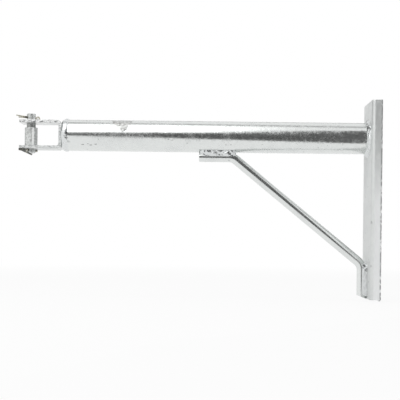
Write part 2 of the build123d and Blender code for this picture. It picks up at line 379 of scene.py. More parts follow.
def torn_edge(tree, groups, edge, base, rough, normal):
    """Tears along the sheared edges. edge gives their axis, reach and tears, and their tones. A tone is an
    axis, whether both its sides count, the two places between which the pits' darkness changes, and the
    darkness at each."""
    torn = place(tree, "ShaderNodeGroup", {
        "Across": edge["across"], "Inner": edge["inner"], "Outer": edge["outer"],
        "Tear Height": edge["tear"], "Tear Size": edge["size"], "Tear Stretch": edge["stretch"],
        "Pit Level": edge["pits"], "Normal": normal,
    }, node_tree=groups["edges"])
    rough = calc(tree, "MULTIPLY_ADD", torn.outputs["Mask"], edge["rough"], rough, clamp=True)
    pit_tone = torn.outputs["Pits"]
    for axis, mirrored, low, high, low_tone, high_tone in edge["tones"]:
        reach = axis_value(tree, axis)
        if mirrored:
            reach = calc(tree, "ABSOLUTE", reach)
        pit_tone = calc(tree, "MULTIPLY", pit_tone, ramp(tree, reach, low, high, low_tone, high_tone))
    return blend(tree, pit_tone, base, PIT_COLOUR), rough, torn.outputs["Normal"]


def pale_stretch(tree, base, start_z, full_z, least_x, colour):
    """Painted highlight: the coat grows paler from one Z to another, beyond the least X, standing in for a
    brighter reflection there.
    """
    share = ramp(tree, axis_value(tree, "Z"), start_z, full_z, smooth=True)
    reached = ramp(tree, axis_value(tree, "X"), least_x - 0.002, least_x)
    return blend(tree, calc(tree, "MULTIPLY", share, reached), base, colour)


def greasy_band(tree, base, low_z, high_z):
    """Painted shade: a dark strip between two Z, standing in for the shade in a gap between parts."""
    up = axis_value(tree, "Z")
    over = ramp(tree, up, low_z - SHADE_STRIP_BLUR_OUT, low_z + SHADE_STRIP_BLUR_IN)
    under = ramp(tree, up, high_z - SHADE_STRIP_BLUR_IN, high_z + SHADE_STRIP_BLUR_OUT, SHADE_STRIP_STRENGTH, 0.0)
    return blend(tree, calc(tree, "MULTIPLY", over, under), base, SHADE_STRIP_COLOUR)


def slag_spot(tree, base, centre, radius):
    """Crumbs of slag about a point."""
    where = own_place(tree)
    near = ramp(tree, vector_calc(tree, "DISTANCE", where, centre), 0.5 * radius, radius, 1.0, 0.0)
    crumbs = ramp(tree, noise_texture(tree, where, CRUMB_SCALE, 2.0).outputs["Fac"], 0.43, 0.5)
    return blend(tree, calc(tree, "MULTIPLY", near, crumbs), base, SLAG_COLOUR)


def zinc_material(name, groups, colour=None, dull=None, rough=0.0, size=1.0, lean=1.0, tone=0.08,
                  frost=0.1, runs=0.00003, skin=0.00006, grit=0.0001, spacing=0.04, patina=0.0,
                  edge=None, calm=None, band=None, pale=None, residue=()):
    """Hot-dip zinc: crystals over a frozen flow, with dull patches and a few dark marks.
    patina is the share of the coat that has turned matt, or that share at a lower and an upper Z, as
    (low Z, high Z, low share, high share). calm gives the X where the coat is smoothest and the X where
    it is as rough as elsewhere. edge and residue are what torn_edge and slag_spot take. The sheen
    argument is what the painted sheen stretch takes, a painted highlight that makes the coat paler, and
    the shade strip argument is what the shade strip function takes, a dark strip of painted shade.
    greasy_band and slag_spot take."""
    zinc = bpy.context.scene.arm_zinc
    material, tree, shader = start_material(name)
    if isinstance(patina, tuple):
        low_z, high_z, low_share, high_share = patina
        up = axis_value(tree, "Z")
        bright = ramp(tree, up, low_z, high_z, 1.0 - low_share, 1.0 - high_share, smooth=True)
        tree.links.new(bright, shader.inputs["Metallic"])
    else:
        shader.inputs["Metallic"].default_value = 1.0 - patina
    lean = zinc.crystal_tilt * lean
    if calm is not None:
        lively = ramp(tree, axis_value(tree, "X"), *calm, CALM_LIVELINESS, 1.0, smooth=True)
        skin, lean, frost = [calc(tree, "MULTIPLY", lively, amount) for amount in (skin, lean, frost)]
    flow = place(tree, "ShaderNodeGroup", {
        "Run Height": runs, "Skin Height": skin, "Grit Height": grit, "Grit Spacing": spacing,
    }, node_tree=groups["flow"])
    crystals = place(tree, "ShaderNodeGroup", {
        "Size": zinc.crystal_size * size, "Lean": lean, "Normal": flow.outputs["Normal"],
    }, node_tree=groups["crystals"])
    stains = place(tree, "ShaderNodeGroup", node_tree=groups["stains"])
    patches = stains.outputs["Patches"]
    greyed = ramp(tree, crystals.outputs["Tone"], 0.2, 0.9, 0.0, tone)
    base = blend(
        tree, calc(tree, "MULTIPLY_ADD", patches, PATCH_GREYING, greyed, clamp=True),
        zinc.colour if colour is None else colour, zinc.dull_colour if dull is None else dull,
    )
    if pale is not None:
        base = pale_stretch(tree, base, *pale)
    marks = calc(tree, "MULTIPLY", stains.outputs["Marks"], MARK_STRENGTH)
    base = blend(tree, marks, base, MARK_COLOUR)
    frosted = ramp(tree, crystals.outputs["Frost"], 0.3, 1.0, smooth=True)
    rough = calc(tree, "MULTIPLY_ADD", frosted, frost, zinc.roughness + rough)
    rough = calc(tree, "MULTIPLY_ADD", patches, PATCH_ROUGHNESS, rough, clamp=True)
    normal = crystals.outputs["Normal"]
    if edge is not None:
        base, rough, normal = torn_edge(tree, groups, edge, base, rough, normal)
    if band is not None:
        base = greasy_band(tree, base, *band)
    for centre, radius in residue:
        base = slag_spot(tree, base, centre, radius)
    connect(tree, shader, {"Base Color": base, "Roughness": rough, "Normal": normal})
    return material


def passivated_material(name, colour, dark_colour, dark_share):
    """Yellow passivated wire with drawn lines, and darker bands and brighter places between them that are
    painted reflection and shade.
    """
    material, tree, shader = start_material(name)
    shader.inputs["Metallic"].default_value = 1.0
    where = own_place(tree)
    # The dark bands and the bright places between them are painted: glare on the upper pin, and shade over
    # nearly all of the lower pin.
    bands = noise_texture(tree, where, PASSIVATE_SCALE, 4.0, 0.6).outputs["Fac"]
    shift = 0.25 * dark_share
    base = blend(tree, ramp(tree, bands, 0.26 + shift, 0.44 + shift, smooth=True), dark_colour, colour)
    lines = noise_texture(tree, where, DRAWN_LINE_SCALE, 3.0).outputs["Fac"]
    bump = place(tree, "ShaderNodeBump", {"Height": lines, "Strength": 0.5, "Distance": 0.0001})
    rough = ramp(tree, bands, 0.3, 0.7, 0.42, 0.24)
    connect(tree, shader, {"Base Color": base, "Roughness": rough, "Normal": bump.outputs["Normal"]})
    return material


materials = {}


def make_materials():
    """Builds the node groups once, then every finish of the arm from them."""
    zinc = bpy.context.scene.arm_zinc
    groups = {
        "crystals": crystal_group(), "flow": flow_group(), "stains": stain_group(), "edges": edge_group(),
    }

    def zinc_finish(name, **looks):
        materials[name] = zinc_material(name, groups, **looks)

    strap_side = strap_high.y
    sleeve_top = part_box("roller_sleeve")[1].z
    zinc_finish("tube_zinc", lean=0.5, skin=0.00007, calm=(tube_end_x + 0.022, tube_end_x + 0.045))
    # The flanges' coat grows paler towards the bottom, a painted reflection.
    zinc_finish("channel_zinc", rough=0.2, size=1.6, tone=0.15, runs=0.00008, skin=0.00003,
                patina=(-0.1, 0.04, 0.85, 0.3), edge={
                    "across": (1, 0, 0), "inner": 0.0024, "outer": 0.001, "tear": 0.0005, "size": 0.0022,
                    "stretch": (1, 1, 0.4), "pits": 0.42, "rough": 0.1,
                    "tones": (("Y", True, channel_high.y - 0.0015, channel_high.y - 0.0008, 0.25, 0.75),),
                }, pale=(-0.02, -0.11, channel_low.x + 0.005, (0.93, 0.945, 0.945)))
    zinc_finish("bar_zinc", rough=0.03, lean=0.3, frost=0.03, runs=0.00002, skin=0.00001)
    # The upper leg's paler coat is a painted highlight where its rounded edges reflect the softbox.
    zinc_finish("strap_zinc", rough=0.12, lean=1.5, tone=0.15, runs=0.00008, grit=0.0003, spacing=0.014,
                patina=0.4, pale=(0.0, 0.014, strap_low.x, (0.86, 0.87, 0.865)), edge={
                    "across": (0, 1, 0), "inner": strap_side - 0.0007, "outer": strap_side - 0.0002,
                    "tear": 0.001, "size": 0.0022, "stretch": (0.6, 1, 1), "pits": 0.47, "rough": 0.2,
                    "tones": (
                        ("Z", False, -0.014, 0.014, 0.45, 0.85),
                        ("Z", True, strap_high.z - 0.0022, strap_high.z - 0.0012, 1.0, 0.35),
                        ("X", False, strap_high.x - 0.0045, strap_high.x - 0.004, 1.0, 0.6),
                    ),
                })
    # The pin's dark strip, from the sleeve's top up to the underside of the strap's upper leg, is painted
    # shade of the gap between them.
    zinc_finish("pin_zinc", dull=(0.30, 0.31, 0.30), rough=0.2, size=0.5, lean=4.0, tone=0.7, grit=0.0003,
                spacing=0.008, patina=0.3, band=(sleeve_top, strap_high.z - 0.004))
    zinc_finish("sleeve_zinc", dull=(0.42, 0.43, 0.42), rough=0.3, size=0.5, lean=4.0, tone=0.7,
                skin=0.0001, grit=0.0003, spacing=0.008, patina=0.5)
    # The seam ridge is real, and its near-white matt coat is a painted highlight along it.
    zinc_finish("seam_highlight_zinc", colour=(0.95, 0.96, 0.95), dull=(0.8, 0.81, 0.8), rough=0.1, skin=0.0001,
                patina=1.0)
    zinc_finish("run_zinc", colour=(0.70, 0.71, 0.70), dull=(0.42, 0.42, 0.41), rough=0.2, size=0.7,
                lean=6.0, tone=0.8, skin=0.0002)
    zinc_finish("grit_zinc", colour=(0.62, 0.63, 0.62), dull=(0.35, 0.36, 0.36), rough=0.15, tone=0.8,
                skin=0.0001)
    smooth_weld = {"colour": zinc.weld_colour, "rough": 0.04, "skin": 0.00002}
    zinc_finish("weld_zinc", **smooth_weld)
    zinc_finish("tail_weld_zinc", **smooth_weld, residue=(
        ((-0.2205, -0.009, -0.0245), 0.0026), ((-0.2175, -0.008, -0.0265), 0.0026),
        ((-0.2025, -0.009, -0.0245), 0.003), ((-0.2385, -0.009, -0.0245), 0.0022),
    ))
    zinc_finish("matt_weld_zinc", colour=zinc.weld_colour, rough=0.15, tone=0.3, skin=0.00005, patina=0.5,
                residue=(((-0.019, -0.0075, -0.174), 0.004), ((-0.0155, -0.0095, -0.179), 0.003)))
    zinc_finish("clevis_weld_zinc", **smooth_weld, residue=(
        ((-0.4232, -0.0215, 0.0018), 0.0038), ((-0.4228, -0.0215, -0.0038), 0.0026),
    ))
    pins = bpy.context.scene.arm_split_pins
    # Painted light on the pins: glare bands over the upper pin, and shade over nearly all of the lower one.
    for end, dark in (("upper", (pins.painted_glare_colour, 0.4)), ("lower", (pins.painted_shade_colour, 0.95))):
        materials[f"{end}_split_pin"] = passivated_material(f"{end}_pin_wire", pins.colour, *dark)


# Mesh helpers


def add_object(name, data):
    """Puts an object into the scene."""
    thing = bpy.data.objects.new(name, data)
    bpy.context.scene.collection.objects.link(thing)
    return thing


def add_piece(name, points, faces, material, body):
    """Makes a smooth mesh piece from points in millimetres and hangs it on its body."""
    mesh = bpy.data.meshes.new(name)
    mesh.from_pydata([tuple(v * MM for v in p) for p in points], [], faces)
    mesh.validate()
    mesh.polygons.foreach_set("use_smooth", [True] * len(mesh.polygons))
    mesh.materials.append(materials[material])
    piece = add_object(name, mesh)
    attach(piece, body)
    return piece


def finish_node(node, finish):
    """Gives a packed member its finish."""
    nodes[node].data.materials.clear()
    nodes[node].data.materials.append(materials[finish])


def grid_faces(rows, columns, rows_closed=False, columns_closed=False, first=0):
    """Quads between neighbouring points of a grid of rows and columns."""
    faces = []
    for r in range(rows if rows_closed else rows - 1):
        row = first + r * columns
        next_row = first + (r + 1) % rows * columns
        for c in range(columns if columns_closed else columns - 1):
            next_c = (c + 1) % columns
            faces.append((row + c, next_row + c, next_row + next_c, row + next_c))
    return faces


# How far a bead's ripple bows and drifts, in ripples, and the length of its drift in mm
RIPPLE_BOW = 0.55
RIPPLE_DRIFT = 0.9
DRIFT_LENGTH = 9.0

# Creases between a bead's pools: width in pools and depth in lump heights
CREASE_WIDTH = 0.25
CREASE_DEPTH = 0.8

# Length and height of a bead's grain, in mm
GRAIN_LENGTH = 2.2
GRAIN_HEIGHT = 0.04

# How deep the edge of a piece lies in the steel, in mm, so that no gap shows under it
SUNK = 0.1


def bead_relief(along, across, seed, lumps=1.0, pool=8.0, ripples=1.0):
    """Height of a weld bead's skin in mm: crescent ripples, pools with creases between them, and fine
    grain. along is in mm down the run, across goes from -1 to 1 over the face, and pool is a pool's
    length in mm."""
    weld = bpy.context.scene.arm_welds
    drift = noise.noise(Vector((along / DRIFT_LENGTH, across * 0.8, seed + 4.0)))
    phase = along * MM / weld.ripple_pitch + RIPPLE_BOW * across * across + RIPPLE_DRIFT * drift
    saw = phase - math.floor(phase)
    ripple = math.sin(math.pi * saw) ** 0.7 * (1.0 - across * across)
    near, next_near = noise.voronoi(Vector((along / pool, across * 0.6, seed)))[0][:2]
    crease = 1.0 - min(1.0, (next_near - near) / CREASE_WIDTH)
    pools = 0.5 - near - CREASE_DEPTH * crease * crease
    grain = noise.noise(Vector((along / GRAIN_LENGTH, across * 2.0, seed + 9.0)))
    raised = ripples * ripple * weld.ripple_height + lumps * pools * weld.lump_height
    return raised / MM + grain * GRAIN_HEIGHT


class ARM_OT_members(Operator):
    """Gives the tube, channel, brace, strap, pin and sleeve their zinc"""

    bl_idname = "arm.members"
    bl_label = "Finish steel members"

    def execute(self, context):
        finishes = {
            "arm_tube": "tube_zinc", "back_channel": "channel_zinc", "brace_bar": "bar_zinc",
            "clevis_strap": "strap_zinc", "clevis_pin": "pin_zinc", "roller_sleeve": "sleeve_zinc",
        }
        for node, finish in finishes.items():
            finish_node(node, finish)
        return {"FINISHED"}


class ARM_OT_sleeve_seam(Operator):
    """Adds the ridge of the pipe's weld seam down the roller sleeve, in a near-white coat that paints the
    highlight along it
    """

    bl_idname = "arm.sleeve_seam"
    bl_label = "Add sleeve seam"

    def execute(self, context):
        low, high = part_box("roller_sleeve")
        axis = (low + high) / 2 / MM
        radius = (high.x - low.x) / 2 / MM
        turn_from_near_side = math.radians(28)
        end_inset = 0.5
        half_width = 1.45
        height = 0.5
        rise, fall = 1.6, 0.4
        rows, columns = 60, 13
        bottom, top = low.z / MM + end_inset, high.z / MM - end_inset
        points = []
        for i in range(rows):
            z = bottom + (top - bottom) * i / (rows - 1)
            wander = 0.35 * noise.noise(Vector((z / 3.0, 0, 11)))
            for j in range(columns):
                across = 2 * j / (columns - 1) - 1
                edge_seed = 0 if across < 0 else 5
                breadth = half_width * (1 + 0.45 * noise.noise(Vector((z / 1.6, edge_seed, 2))))
                angle = turn_from_near_side + (across * breadth + wander) / radius
                slope = min((1 + across) / rise, (1 - across) / fall)
                swell = height * slope * (1 + 0.4 * noise.noise(Vector((z / 1.8, across, 4))))
                r = radius + swell - SUNK * across ** 6
                points.append(Vector((axis.x + r * math.sin(angle), axis.y - r * math.cos(angle), z)))
        faces = grid_faces(rows, columns)
        add_piece("sleeve_seam", points, faces, "seam_highlight_zinc", "roller")
        return {"FINISHED"}


class ARM_OT_split_pins(Operator):
    """Gives both split pins their yellow passivated wire"""

    bl_idname = "arm.split_pins"
    bl_label = "Finish split pins"

    def execute(self, context):
        for node in ("upper_split_pin", "lower_split_pin"):
            finish_node(node, node)
        return {"FINISHED"}


class ARM_OT_ring_weld(Operator):
    """Lays the fillet weld round the tube at the channel's web"""

    bl_idname = "arm.ring_weld"
    bl_label = "Lay ring weld"

    def execute(self, context):
        leg = context.scene.arm_welds.ring_leg / MM
        radius = tube_radius / MM
        web = web_x / MM
        face_radius = radius + 2
        belly = 0.5
        slant = 0.7
        turns, steps = 300, 16
        points = []
        for i in range(turns):
            angle = 2 * math.pi * i / turns
            around = Vector((0.0, math.sin(angle), math.cos(angle)))
            for j in range(steps):
                t = j / (steps - 1)
                across = 2 * t - 1
                relief = bead_relief(angle * face_radius, across, 1.0, lumps=0.6) * (1 - across ** 4)
                swell = belly * (1 - across * across) + relief
                x = web + SUNK - (leg + SUNK) * t - swell * slant
                r = radius - SUNK + (leg + SUNK) * (1 - t) + swell * slant
                points.append(Vector((x, 0, 0)) + around * r)
        faces = grid_faces(turns, steps, rows_closed=True)
        piece = add_piece("ring_weld", points, faces, "weld_zinc", "arm")
        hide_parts("tube_channel_weld")
        return {"FINISHED"}


# Where the clevis weld was started and stopped: degrees round the tube from its top, and X, size and height
# in mm
STOP_MARKS = (
    (-88, -423.4, 2.2, 0.45), (-99, -423.2, 1.3, 0.4), (-8, -425.0, 2.4, 0.8), (-172, -425.8, 2.6, 0.8),
    (95, -425.0, 2.0, 0.7),
)


def stop_relief(gap, height):
    """Lump where a weld was stopped, with a moat round it. gap is the distance from it, in lumps."""
    moat_depth = 0.55
    moat_reach = 1.7
    moat_width = 0.45
    moat = moat_depth * math.exp(-((gap - moat_reach) / moat_width) ** 2)
    return height * (math.exp(-gap * gap) - moat)


class ARM_OT_clevis_weld(Operator):
    """Lays the heavy bead between the tube's end and the strap"""

    bl_idname = "arm.clevis_weld"
    bl_label = "Lay clevis weld"

    def execute(self, context):
        low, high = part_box("clevis_weld")
        proud = 0.2
        crest_offset = 2.3
        outer = high.z / MM + proud
        crest_x = tube_end_x / MM + crest_offset
        half_height = 3.9
        web_width = crest_x - low.x / MM
        tube_width = 4.6
        toe_wander = 1.1
        turns, steps = 320, 40
        points = []
        for i in range(turns):
            angle = 2 * math.pi * i / turns - math.pi
            around = Vector((0.0, math.sin(angle), math.cos(angle)))
            toe = toe_wander * noise.noise(Vector((math.cos(angle) * 2.5, math.sin(angle) * 2.5, 3.0)))
            for j in range(steps):
                tilt = 2 * math.pi * j / steps
                out_x, out_r = math.cos(tilt), math.sin(tilt)
                width = web_width if out_x < 0 else tube_width
                shown = max(0.0, out_r) ** 0.5
                relief = bead_relief(angle * outer, out_x, 21.0, lumps=0.3, pool=16.0, ripples=0.2)
                relief = relief * shown - SUNK
                for degrees, stop_x, size, height in STOP_MARKS:
                    gap_round = (angle - math.radians(degrees)) * outer
                    gap = math.hypot(gap_round, crest_x + out_x * width - stop_x) / size
                    relief += stop_relief(gap, height)
                relief *= shown
                x = crest_x + out_x * (width + toe * max(0.0, out_x))
                r = outer - half_height + out_r * (half_height + relief)
                points.append(Vector((x, 0, 0)) + around * r)
        faces = grid_faces(turns, steps, rows_closed=True, columns_closed=True)
        piece = add_piece("clevis_bead", points, faces, "clevis_weld_zinc", "arm")
        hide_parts("clevis_weld")
        return {"FINISHED"}


def groove_bead(name, node, start, end, section, seed, lumps, ripples, finish):
    """Bead from start to end, in mm along its run. section gives its two toes, its root's two corners
    and the function that turns a place along the run and one in the section into a point."""
    step_length = 0.55
    end_taper = 7.0
    crown = 0.8
    least_height = 0.25
    steps, face_steps = int((end - start) / step_length), 16
    toe_a, toe_b, root_b, root_a, to_point = section
    middle = (toe_a + toe_b) / 2
    outward = (toe_b - toe_a).orthogonal().normalized()
    if outward.dot(middle - (root_a + root_b) / 2) < 0:
        outward = -outward
    points = []
    for i in range(steps + 1):
        along = start + (end - start) * i / steps
        reach = min(along - start, end - along) / end_taper
        full = math.sqrt(max(0.0, 1 - (1 - min(1.0, reach)) ** 2))
        for j in range(face_steps):
            t = j / (face_steps - 1)
            across = 2 * t - 1
            relief = bead_relief(along, across, seed, lumps=lumps, pool=8.5, ripples=ripples)
            swell = crown * (1 - across * across) + relief * (1 - across ** 4)
            flat = toe_a.lerp(toe_b, t) + outward * swell
            root = root_a.lerp(root_b, t)
            points.append(to_point(along, root.lerp(flat, least_height + (1 - least_height) * full)))
        for corner in (root_b, root_a):
            points.append(to_point(along, corner))
    columns = face_steps + 2
    faces = grid_faces(steps + 1, columns, columns_closed=True)
    faces.append(tuple(range(columns)))
    faces.append(tuple(reversed(range(steps * columns, (steps + 1) * columns))))
    piece = add_piece(name, points, faces, finish, "arm")
    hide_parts(node)


class ARM_OT_brace_welds(Operator):
    """Lays the four beads that hold the brace, two at its tail and two at its foot"""

    bl_idname = "arm.brace_welds"
    bl_label = "Lay brace welds"

    def execute(self, context):
        radius = tube_radius / MM
        bar = brace_radius / MM
        bar_z = brace_tail_z / MM
        web = web_x / MM
        foot_x = web - bar
        toe_inset = 0.6
        foot_toe = 9.4
        root = 2.0
        for side_name, side in (("near", -1), ("far", 1)):
            low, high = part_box(f"brace_tube_weld_{side_name}")
            reach = max(abs(low.y), abs(high.y)) / MM - toe_inset
            section = (
                Vector((side * reach, -math.sqrt(radius ** 2 - reach ** 2) + SUNK, 0)),
                Vector((side * (bar - 0.2), bar_z + 0.6, 0)), Vector((side * root, bar_z, 0)),
                Vector((side * root, 1.3 - radius, 0)), lambda along, p: Vector((along, p.x, p.y)),
            )
            groove_bead(
                f"tail_bead_{side_name}", f"brace_tube_weld_{side_name}", low.x / MM, high.x / MM,
                section, seed=40.0 + 3 * side, lumps=2.2, ripples=0.6, finish="tail_weld_zinc",
            )
            low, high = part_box(f"brace_channel_weld_{side_name}")
            section = (
                Vector((web + SUNK, side * foot_toe, 0)), Vector((foot_x - 0.4, side * (bar - 0.1), 0)),
                Vector((foot_x, side * root, 0)), Vector((web, side * root, 0)),
                lambda along, p: Vector((p.x, p.y, along)),
            )
            groove_bead(
                f"foot_bead_{side_name}", f"brace_channel_weld_{side_name}", low.z / MM, high.z / MM,
                section, seed=60.0 + 3 * side, lumps=0.9, ripples=0.3, finish="matt_weld_zinc",
            )
        return {"FINISHED"}


# Grit on the tube: mm along X, degrees up from the near side, size in mm and length over width
TUBE_GRIT = (
    (-84.6, 11, 0.9, 1.0), (-422.0, -15, 1.0, 1.0), (-380.4, -19, 0.9, 1.0), (-402.0, -41, 0.9, 2.6),
    (-395.0, -38, 0.8, 2.0), (-391.0, -43, 0.9, 2.4), (-384.5, -39, 0.8, 2.8), (-280.9, -19, 1.1, 1.6),
    (-286.0, -17, 0.8, 1.8), (-290.5, -16, 0.7, 1.0), (-260.7, -31, 0.9, 1.0), (-208.3, -36, 0.8, 1.0),
    (-201.5, -35, 0.9, 1.0), (-150.0, -24, 0.6, 1.0), (-120.0, 40, 0.7, 1.0), (-310.0, 58, 0.7, 1.0),
)

# Grains scattered over the rest of the tube and over the web, and their least and greatest size in mm
SCATTER_ON_TUBE = 26
SCATTER_ON_WEB = 18
SCATTER_SIZE = (0.4, 0.8)

# A grain's rings from its foot up: radius and height, as shares of its size
GRAIN_RINGS = ((1.0, -0.1), (0.8, 0.25), (0.5, 0.48), (0.2, 0.58))
GRAIN_SIDES = 10


def on_tube(x, degrees, lift):
    """Point over the tube's skin, in mm. degrees is measured up from the near side."""
    angle = math.radians(degrees)
    r = tube_radius / MM + lift
    return Vector((x, -math.cos(angle) * r, math.sin(angle) * r))


class ARM_OT_zinc_runs(Operator):
    """Adds the frozen run on the tube and the small grit caught in the zinc"""

    bl_idname = "arm.zinc_runs"
    bl_label = "Add zinc runs and grit"

    def execute(self, context):
        self.add_run()
        self.add_grit()
        return {"FINISHED"}

    def add_run(self):
        """A run of thick zinc below the tube's crown: wide at the top, and drawn out to a tip."""
        left, right = -369.0, -333.0
        top, tip = 66.0, 8.0
        edge_depth = 0.08
        thickness = 0.34
        unevenness = 0.22
        end_slope = 6
        columns, rows = 80, 60
        points = []
        for i in range(rows):
            v = i / (rows - 1)
            degrees = top + (tip - top) * v
            centre = 0.52 + 0.08 * v + 0.06 * noise.noise(Vector((v * 4, 0, 5)))
            for j in range(columns):
                u = j / (columns - 1)
                x = left + (right - left) * u
                half = 0.44 * (1 - v) ** 0.8 + 0.02 + 0.09 * noise.noise(Vector((v * 7, u * 2, 8)))
                inside = max(0.0, 1 - ((u - centre) / max(half, 0.01)) ** 2)
                inside = inside * min(1.0, v * end_slope) * min(1.0, (1 - v) * end_slope)
                rough = noise.noise(Vector((x / 2.6, degrees / 7.0, 2)))
                rough += 0.5 * noise.noise(Vector((x / 1.2, degrees / 3.0, 6)))
                lift = inside ** 0.5 * (thickness + unevenness * rough) - edge_depth
                points.append(on_tube(x, degrees, lift))
        faces = grid_faces(rows, columns)
        add_piece("tube_zinc_run", points, faces, "run_zinc", "arm")

    def add_grit(self):
        """Low round grains of dross: the listed ones, and a seeded scatter over the rest."""
        rng = random.Random(7)
        spots = []

        def add_on_tube(x, degrees, size, length):
            at = on_tube(x, degrees, 0.0)
            spots.append((at, on_tube(x, degrees, 1.0) - at, Vector((1, 0, 0)), size, length))

        for spot in TUBE_GRIT:
            add_on_tube(*spot)
        for _ in range(SCATTER_ON_TUBE):
            add_on_tube(rng.uniform(-415, -20), rng.uniform(70, 330), rng.uniform(*SCATTER_SIZE), 1.0)
        for _ in range(SCATTER_ON_WEB):
            at = Vector((web_x / MM, rng.uniform(-28, 28), rng.uniform(-210, 44)))
            spots.append((at, Vector((-1, 0, 0)), Vector((0, 0, 1)), rng.uniform(*SCATTER_SIZE), 1.0))
        points, faces = [], []
        rings = len(GRAIN_RINGS)
        for at, up, side, size, length in spots:
            other = up.cross(side)
            first = len(points)
            for spread, height in GRAIN_RINGS:
                for k in range(GRAIN_SIDES):
                    turn = 2 * math.pi * k / GRAIN_SIDES
                    out = side * length * math.cos(turn) + other * math.sin(turn)
                    points.append(at + up * (size * height) + out * (size * spread))
            faces += grid_faces(rings, GRAIN_SIDES, columns_closed=True, first=first)
            faces.append(tuple(range(first + (rings - 1) * GRAIN_SIDES, first + rings * GRAIN_SIDES)))
        add_piece("zinc_grit", points, faces, "grit_zinc", "arm")


# Softbox: where it stands, the point that it faces and its width, in metres
SOFTBOX_PLACE = (-0.77, -0.659, 0.843)
SOFTBOX_AIM = (-0.77, 0, 0)
SOFTBOX_WIDTH = 1.25

# Camera: place and reach in metres, roll in degrees, lens and sensor in mm, and shift in sensors
CAMERA_X = -0.2295
CAMERA_Z = -0.1492
CAMERA_ROLL = -0.66
CAMERA_LENS = 83.5
CAMERA_SENSOR = 36.0
CAMERA_SHIFT = (-0.0225, 0.115)
CAMERA_REACH = 60.0

# Floor: half its width and the distances between which it fades to white, in metres, its share of white
# within them, its grey and its roughness
FLOOR_HALF_WIDTH = 12.0
FLOOR_FADE = (0.7, 2.5)
FLOOR_WHITE_SHARE = 0.89
FLOOR_GREY = 0.88
FLOOR_ROUGHNESS = 0.9

# Sky that the metal reflects: the heights between which it dims, 1 being straight up, and its level there
SKY_DIMMING = (0.5, 0.8)
SKY_OVERHEAD_LEVEL = 0.97

# Grey of the flats and the mat in front of the arm
FRONT_GREY = 0.12

# Flats over the table, behind it and to its left: grey and corners
HANGING_FLATS = {
    "roof_flat": (0.72, [(-2.5, 0.81, 1.4), (2.5, -1.19, 1.4), (2.5, -0.83, 1.4), (-2.5, 1.17, 1.4)]),
    "back_flat": (0.35, [(-0.8, 1.15, 0.52), (0.35, 1.15, 0.52), (0.35, 1.15, 0.85), (-0.8, 1.15, 0.75)]),
    "back_left_flat": (0.12, [(-1.9, 0.7, 0.0), (-0.8, 1.15, 0.0), (-0.8, 1.15, 0.5), (-1.9, 0.7, 0.3)]),
    "back_right_flat": (0.12, [(0.35, 1.15, 0.0), (1.5, 0.7, 0.0), (1.5, 0.7, 0.6), (0.35, 1.15, 0.5)]),
    "left_flat": (0.07, [(-1.7, -0.6, 0.45), (-1.7, 1.8, 0.45), (-1.7, 1.8, 1.8), (-1.7, -0.6, 1.8)]),
}

# Slanting line that the front flat stands on: X and Y of its end, and its slope
FRONT_LINE_END = (0.45, -0.11)
FRONT_LINE_SLOPE = 1.484

# Front flat: X of its ends and the heights there
FRONT_LEFT_X = -1.1
FRONT_RIGHT_X = 0.09
FRONT_LEFT_TOP = 0.25
FRONT_RIGHT_TOP = 0.84

# Edge of the dark mat before the arm, as X and Y
MAT_EDGE = (
    (-0.64, -1.73), (-0.53, -1.3), (-0.41, -0.89), (-0.33, -0.75), (-0.26, -0.55), (-0.2, -0.5),
    (-0.14, -0.43), (-0.09, -0.35), (-0.045, -0.31), (0.0, -0.265), (0.12, -0.25),
)
MAT_THICKNESS = 0.0005


def front_foot(x):
    """Y of the slanting line that the front flat stands on."""
    end_x, end_y = FRONT_LINE_END
    return end_y - FRONT_LINE_SLOPE * (end_x - x)


def start_matt_material(name, grey, roughness):
    """Starts a plain grey material and returns it with its tree and its shader."""
    material, tree, shader = start_material(name)
    shader.inputs["Base Color"].default_value = (grey, grey, grey, 1.0)
    shader.inputs["Roughness"].default_value = roughness
    return material, tree, shader


